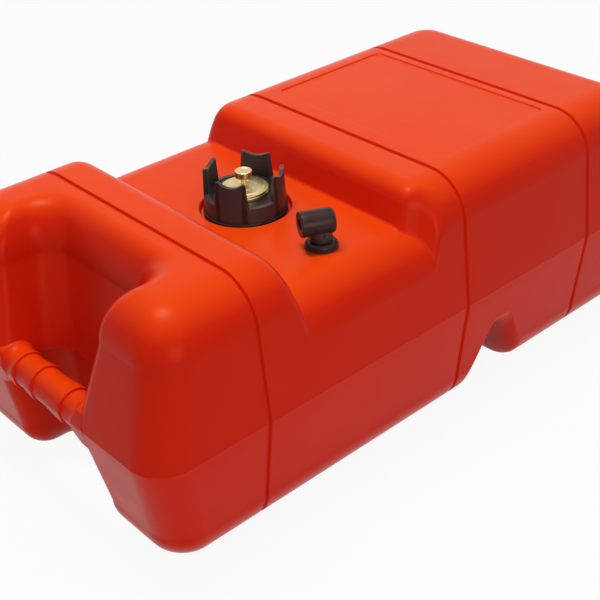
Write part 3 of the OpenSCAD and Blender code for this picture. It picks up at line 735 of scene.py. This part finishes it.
def inside(x, y, outline):
    """True if a point lies inside a closed outline."""
    hit = False
    for (x1, y1), (x2, y2) in zip(outline, outline[1:] + outline[:1]):
        if (y1 > y) != (y2 > y) and x < (x2 - x1) * (y - y1) / (y2 - y1) + x1:
            hit = not hit
    return hit


def connect(bm, loop, profile, centre, end_loop):
    """Rings of a turned profile from one open loop to another."""
    steps = len(loop)
    before = loop
    for r, z in profile:
        ring = circle(bm, centre, r, z, steps)
        bridge(bm, before, ring, steps)
        before = ring
    bridge(bm, before, end_loop, steps)


def panel_outline(bm, shrink, z):
    """Rounded rectangle of the bare recessed panel on the rear block."""
    xl, xh, y, r = (PANEL_X[0] + shrink, PANEL_X[1] - shrink, PANEL_HALF_Y - shrink,
                    PANEL_CORNER - shrink * 0.5)
    points = (arc(xh - r, y - r, r, 0, 90, 8) + arc(xl + r, y - r, r, 90, 180, 8)
              + arc(xl + r, r - y, r, 180, 270, 8) + arc(xh - r, r - y, r, 270, 360, 8))
    return [bm.verts.new((px, py, z)) for px, py in points]


def recessed_panel(bm):
    """The panel's rim, its soft step and its floor. Returns the open rim."""
    rim = panel_outline(bm, 0.0, HEIGHT)
    before, steps = rim, 5
    for k in range(1, steps + 1):
        t = k / steps
        loop = panel_outline(bm, PANEL_EDGE * t, HEIGHT - PANEL_DEPTH * smooth(t))
        bridge(bm, before, loop, len(loop))
        before = loop
    fill_flat(bm, before, ())
    return rim


def handle_bar(bm):
    """The finger-grip bar, swelling towards each step and flaring into the arms."""
    half, end_y = NOTCH_HALF + WALL - 0.8, NOTCH_HALF + LIP_CORNER
    marks = [half, *GRIP_ENDS, -half]
    last, steps = len(GRIP_ENDS), 28
    step_half, step_drop, lip_rise, flare_rise, flare_reach = 0.35, 2.0, 0.25, 5.0, 13.0
    grip_r, flare_r = BAR_R - lip_rise, BAR_R - lip_rise + flare_rise
    profile = [(0, end_y), (flare_r, end_y)]
    for k, (start, end) in enumerate(zip(marks, marks[1:])):
        for i in range(steps + 1):
            y = mix(start - (step_half if k else 0), end + (step_half if k < last else 0),
                    i / steps)
            swell = smooth((start - y) / (start - end) * 1.35 - 0.3)
            lip = lip_rise * math.exp(-((y - end - 2.0) / 1.3) ** 2) if k < last else 0
            flare = flare_rise * min(1.0, max(0.0, 1 - (half - abs(y)) / flare_reach)) ** 2
            profile.append((grip_r - step_drop * (1 - swell) + lip + flare, y))
    profile += [(flare_r, -end_y), (0, -end_y)]
    centre = Vector((FRONT_X + BAR_R, 0, BAR_Z))
    verts = lathe(bm, profile, centre, 96, Matrix.Rotation(rad(-90), 4, "X"))
    # The ends stay behind the arms' leaning fronts
    lean_up = FRONT_FACE[0] / (HEIGHT - TOP_EDGE - PARTING_Z)
    lean_down = FRONT_FACE[2] / (PARTING_Z - BOTTOM_EDGE)
    for v in verts:
        above = v.co.z - PARTING_Z
        face_x = FRONT_X + (lean_up * above if above > 0 else -lean_down * above)
        v.co.x = max(v.co.x, face_x)


def build_shell():
    """Both skins, joined at the filler neck and at the outlet's hole, and the bar."""
    bm = bmesh.new()
    steps = 160
    outer, inner = Skin(bm, 0.0, True), Skin(bm, WALL, False)
    well = circle(bm, FILLER, WELL_R + WELL_RIM, DECK_Z, steps)
    port = circle(bm, OUTLET, BUSH_R, DECK_Z, steps)
    panel = recessed_panel(bm)
    deck = (HUMP_FOOT_X, BLOCK_X)
    block = (PANEL_X[0] - 3.0, PANEL_X[1] + 3.0)
    outer.cap(outer.rings[-1], [(deck, [well, port]), (block, [panel])])
    outer.cap(outer.rings[0])
    under = DECK_Z - WALL
    inner_well = circle(bm, FILLER, WELL_R + WALL, under, steps)
    inner_port = circle(bm, OUTLET, PAD_R, under, steps)
    inner_deck = (HUMP_FOOT_X - WALL, BLOCK_X + WALL)
    inner.cap(inner.rings[-1], [(inner_deck, [inner_well, inner_port])])
    inner.cap(inner.rings[0])
    root, crest = NECK_R - 1.7, NECK_R - 0.1
    wall = rounded([(WELL_R + WELL_RIM, DECK_Z), (WELL_R, DECK_Z - WELL_RIM), (WELL_R, WELL_Z),
                    (root, WELL_Z), (root, WELL_Z + 2.5)], 1.4, 5)
    turns = thread(root, crest, WELL_Z + 2.6, NECK_Z - 1.0, NECK_PITCH)
    bore = rounded([(root, NECK_Z - 0.9), (root, NECK_Z), (NECK_BORE_R, NECK_Z),
                    (NECK_BORE_R, WELL_Z - WALL), (WELL_R + WALL, WELL_Z - WALL),
                    (WELL_R + WALL, under)], 0.8, 4)
    connect(bm, well, wall[1:] + turns + bore[:-1], FILLER, inner_well)
    connect(bm, port, [(BUSH_R, PAD_Z), (PAD_R, PAD_Z)], OUTLET, inner_port)
    handle_bar(bm)
    shell = dress(raw_object("tank_moulding", bm), "red_hdpe", "tank", "tank_shell", 50.0)
    even = shell.modifiers.new("even_normals", "WEIGHTED_NORMAL")
    even.weight, even.keep_sharp = 80, True


# ---------------------------------------------------------------- the cap
def crown():
    """Crown cap: skirt with its inner thread, lip, web, seat and four hollowed fingers."""
    bm = bmesh.new()
    low, bore = CAP_FOOT, NECK_R + 0.5
    seat_r, stem_hole_r, taper = 5.6, 3.3, 1.6
    outside = rounded([(bore + 0.4, low), (CAP_R, low), (CAP_R, low + 4.5),
                       (CROWN_R, low + 5.3), (CROWN_R - taper, CAP_TOP), (FINGER_R, CAP_TOP),
                       (FINGER_R, FLOOR_Z), (seat_r, FLOOR_Z), (seat_r, SEAT_Z),
                       (stem_hole_r, SEAT_Z), (stem_hole_r, WEB_Z), (bore, WEB_Z),
                       (bore, WEB_Z - 2)], 0.7, 5)
    turns = thread(bore, bore + 1.3, low + 1.2, WEB_Z - 2.2, NECK_PITCH)
    lathe(bm, outside + turns[::-1], FILLER, 192)
    cap = raw_object("crown_cap", bm)
    pitch = 360 / FINGERS
    gap_half = CROWN_R * math.tan(rad(pitch / 2 - FINGER_HALF))
    wedge = [(-gap_half + 2, FLOOR_Z + 0.8), (gap_half - 2, FLOOR_Z + 0.8),
             (gap_half, CAP_TOP + 1), (-gap_half, CAP_TOP + 1)]
    half_chord = CROWN_R * math.sin(rad(FINGER_HALF)) - FINGER_SHOULDER
    hollow_r = (half_chord ** 2 + FINGER_HOLLOW ** 2) / (2 * FINGER_HOLLOW)
    tools, within, beyond = [], 19.0, 57.0
    for i in range(FINGERS):
        turn = Matrix.Translation(FILLER) @ Matrix.Rotation(rad(FIRST_FINGER + pitch * i), 4, "Z")
        gap = bmesh.new()
        ends = [[gap.verts.new((x, y, z)) for y, z in wedge] for x in (FINGER_R - 6, 62.0)]
        bridge(gap, ends[0], ends[1], 4)
        for end in ends:
            gap.faces.new(end)
        bmesh.ops.transform(gap, verts=gap.verts,
                            matrix=turn @ Matrix.Rotation(rad(pitch / 2), 4, "Z"))
        tools.append(raw_object("gap_tool", gap))
        scoop = bmesh.new()
        lathe(scoop, [(0, within), (hollow_r, within), (hollow_r, beyond), (0, beyond)],
              Vector((0, 0, CAP_TOP - FINGER_HOLLOW + hollow_r)), 96,
              Matrix.Rotation(rad(90), 4, "Y"))
        bmesh.ops.transform(scoop, matrix=turn, verts=scoop.verts)
        tools.append(raw_object("hollow_tool", scoop))
    carve(cap, tools)
    dress(cap, "black_plastic", "cap", "filler_cap", 30.0)
    add_bevel(cap, 0.45, 32.0)


def cap_metal():
    """The drum with its raised plateau, and the vent screw with its coin-like knob."""
    r, z, top = DRUM_R, FLOOR_Z, FLOOR_Z + 6.5
    drum = rounded([(6.2, z), (r, z), (r, z + 2.9), (22.4, z + 3.2), (22.4, z + 4.0),
                    (r, z + 4.3), (r, z + 5.7), (19.2, z + 5.7), (18.2, top), (10.6, top),
                    (10.2, z + 6.25), (9.8, top), (DRUM_BORE_R, top),
                    (DRUM_BORE_R, DRUM_FOOT), (6.2, DRUM_FOOT)], 0.5, 5, closed=True)
    turned_piece("vent_drum_turned", drum, FILLER, "champagne_metal", "cap", "vent_drum", 160)
    # From below: tail with its clip groove, valve head, stem with its ring groove, knob
    t, r, k = TAIL_R, SCREW_R, KNOB_Z
    screw = rounded([(0, TAIL_FOOT), (t, TAIL_FOOT), (t, 231), (1.4, 231), (1.4, 232.2),
                     (t, 232.2), (t, 238.2), (4.2, 238.2), (4.2, 239.8), (r, 239.8),
                     (r, 243.4), (2.2, 243.4), (2.2, 244.6), (r, 244.6), (r, k - 1), (4, k),
                     (KNOB_R, k), (KNOB_R, k + 6.6), (7.3, k + 7), (5.9, k + 7),
                     (5.3, k + 6.5), (0, k + 6.5)], 0.9, 5)
    turned_piece("vent_screw_turned", screw, FILLER, "champagne_metal", "vent_knob",
                 "vent_screw", 96)


# ---------------------------------------------------------------- the outlet
def outlet():
    """The gland with its domed flange, and the elbow with its threaded port."""
    f, rim, dome_rise = GLAND_FLANGE_Z, GLAND_FLANGE_Z + 2.0, 3.6
    dome = [(mix(12.5, 14.5, math.cos(rad(a)) ** 2), rim + dome_rise * math.sin(rad(a)))
            for a in range(0, 91, 10)]
    gland = rounded([(GLAND_BORE_R, PAD_Z + 2), (9, PAD_Z + 2), (9, f), (GLAND_R, f),
                     (GLAND_R, rim)], 0.4, 4)
    gland += dome + [(7.0, f + 5.6), (GLAND_BORE_R, f + 5.2)]
    turned_piece("outlet_gland", gland, OUTLET, "black_plastic", "tank", "gland_nut", 128)
    r = SPIGOT_R
    spigot = [(0, SPIGOT_FOOT), (3.2, SPIGOT_FOOT), (4, SPIGOT_FOOT + 3), (4, SPIGOT_Z),
              (r, SPIGOT_Z)]
    for low, high, groove_r in SPIGOT_GROOVES:
        spigot += [(r, low), (groove_r, low), (groove_r, high), (r, high)]
    spigot.append((r, COLLAR_Z))
    collar = rounded([(r, COLLAR_Z), (10.5, COLLAR_Z), (10.5, 235.6), (9.7, 236.5),
                      (9.7, BARREL_Z)], 0.9, 4)
    turn = Matrix.Translation(OUTLET) @ Matrix.Rotation(rad(HEADING), 4, "Z")
    along = Matrix.Rotation(rad(90), 4, "Y")
    height = Vector((0, 0, BARREL_Z))

    def part(profile, centre, matrix=None, steps=96):
        """A turned part, upright or lying, at the elbow's place and heading."""
        bm = bmesh.new()
        lathe(bm, profile, centre, steps, matrix)
        bmesh.ops.transform(bm, matrix=turn, verts=bm.verts)
        return raw_object("outlet_elbow_moulded", bm)

    elbow = part(spigot + collar[1:] + [(0, BARREL_Z)], Vector((0, 0, 0)))
    end_round = 3.5
    end = arc(BARREL_R - end_round, -BARREL_R + end_round, end_round, -90, 0, 8)
    mouth = rounded([(BARREL_R, BARREL_REACH / 2), (BARREL_R, BARREL_REACH),
                     (0, BARREL_REACH)], 1.2, 5)
    barrel = part([(0, -BARREL_R), *end, *mouth], height, along)
    carve(elbow, [barrel], "UNION")
    turns = thread(PORT_R, PORT_R + 0.6, PORT_START + 1, BARREL_REACH - 1, 1.5, 8)
    bore = [(0, PORT_START), (PORT_R, PORT_START), *turns, (PORT_R, BARREL_REACH - 0.8),
            (7.2, BARREL_REACH + 0.5), (7.2, BARREL_REACH + 2), (0, BARREL_REACH + 2)]
    r, below, meet = PASSAGE_R, SPIGOT_FOOT - 6, PORT_START + 2
    tools = [part(bore, height, along),
             part([(0, 0), (r, 0), (r, meet), (0, meet)], height, along, 48),
             part([(0, below), (r, below), (r, BARREL_Z), (0, BARREL_Z)],
                  Vector((0, 0, 0)), None, 48)]
    carve(elbow, tools)
    dress(elbow, "black_plastic", "outlet", "outlet_elbow", 35.0)
    add_bevel(elbow, 0.35, 38.0)


# ---------------------------------------------------------------- camera, lights, stage
# The camera solved from the photo: place in metres, direction, roll and lens in mm
CAMERA_PLACE = Vector((-0.72316, -0.80096, 0.76588))
CAMERA_LOOK = Vector((0.55254, 0.63541, -0.53940))
CAMERA_ROLL = rad(-2.453)
CAMERA_LENS = 71.5


def add_camera():
    """The camera at the photo's viewing angle."""
    camera = bpy.data.objects.new("camera", bpy.data.cameras.new("camera"))
    bpy.context.scene.collection.objects.link(camera)
    look = CAMERA_LOOK.normalized()
    level = look.cross(Vector((0, 0, 1))).normalized()
    upright = level.cross(look)
    right = level * math.cos(CAMERA_ROLL) + upright * math.sin(CAMERA_ROLL)
    up = upright * math.cos(CAMERA_ROLL) - level * math.sin(CAMERA_ROLL)
    turn = Matrix((right, up, -look)).transposed().to_4x4()
    camera.matrix_world = Matrix.Translation(CAMERA_PLACE) @ turn
    camera.data.lens = CAMERA_LENS
    camera.data.sensor_width = 36.0
    camera.data.clip_start = 0.05
    bpy.context.scene.camera = camera


def add_light(name, place, aim, size, power):
    """A soft rectangular lamp in metres and watts, turned towards a point."""
    light = bpy.data.lights.new(name, "AREA")
    light.shape = "RECTANGLE"
    light.size, light.size_y = size
    light.energy = power
    obj = bpy.data.objects.new(name, light)
    bpy.context.scene.collection.objects.link(obj)
    obj.location = place
    obj.rotation_euler = (Vector(aim) - Vector(place)).to_track_quat("-Z", "Y").to_euler()


def camera_white(tree, shader_output, output_socket, keep=0.0):
    """White at strength 1 for camera and mirror rays, the given shader for the rest.

    keep is the share of that shader the camera still sees, which carries the shadow.
    """
    path = tree.nodes.new("ShaderNodeLightPath")
    seen = path.outputs["Is Camera Ray"]
    for name in ("Is Glossy Ray", "Is Transmission Ray"):
        either = add_node(tree, "ShaderNodeMath", operation="MAXIMUM")
        tree.links.new(seen, either.inputs[0])
        tree.links.new(path.outputs[name], either.inputs[1])
        seen = either.outputs[0]
    share = add_node(tree, "ShaderNodeMath", operation="MULTIPLY")
    share.inputs[1].default_value = 1.0 - keep
    tree.links.new(seen, share.inputs[0])
    white = tree.nodes.new("ShaderNodeEmission")
    white.inputs["Strength"].default_value = 1.0
    blend = tree.nodes.new("ShaderNodeMixShader")
    for socket, source in zip(blend.inputs, (share.outputs[0], shader_output,
                                             white.outputs[0])):
        tree.links.new(source, socket)
    tree.links.new(blend.outputs[0], output_socket)


def add_stage():
    """The plain white floor, just under the tank."""
    bpy.ops.mesh.primitive_plane_add(size=14.0, location=(0, 0, -0.0004))
    floor = bpy.context.object
    floor.name = "floor"
    material, tree, shader = new_material("floor_white")
    shader.inputs["Base Color"].default_value = (0.78, 0.78, 0.78, 1)
    shader.inputs["Roughness"].default_value = 0.9
    shader.inputs["Specular IOR Level"].default_value = 0.1
    camera_white(tree, shader.outputs[0], tree.nodes["Material Output"].inputs[0],
                 keep=0.07)
    floor.data.materials.append(material)


def add_world():
    """A pale studio that lights evenly and looks white."""
    world = bpy.data.worlds.new("studio")
    bpy.context.scene.world = world
    world.use_nodes = True
    tree = world.node_tree
    ambient = tree.nodes["Background"]
    ambient.inputs["Color"].default_value = (1, 1, 1, 1)
    ambient.inputs["Strength"].default_value = 0.25
    camera_white(tree, ambient.outputs[0], tree.nodes["World Output"].inputs[0])


def add_lights():
    """The main lamp overhead, a low one in front of the near side and a wide weak one."""
    add_light("key", (-0.2, 0.2, 2.2), (0.0, 0.0, 0.15), (0.4, 0.7), 26.0)
    add_light("fill", (-0.7, -1.8, 0.7), (0.0, 0.0, 0.12), (0.9, 0.9), 10.0)
    add_light("top", (0.4, -0.6, 2.2), (0.05, 0.0, 0.2), (1.6, 1.6), 2.5)


dress_nodes()
build_shell()
crown()
cap_metal()
outlet()
add_camera()
add_world()
add_stage()
add_lights()
bpy.context.scene.view_settings.view_transform = "Standard"
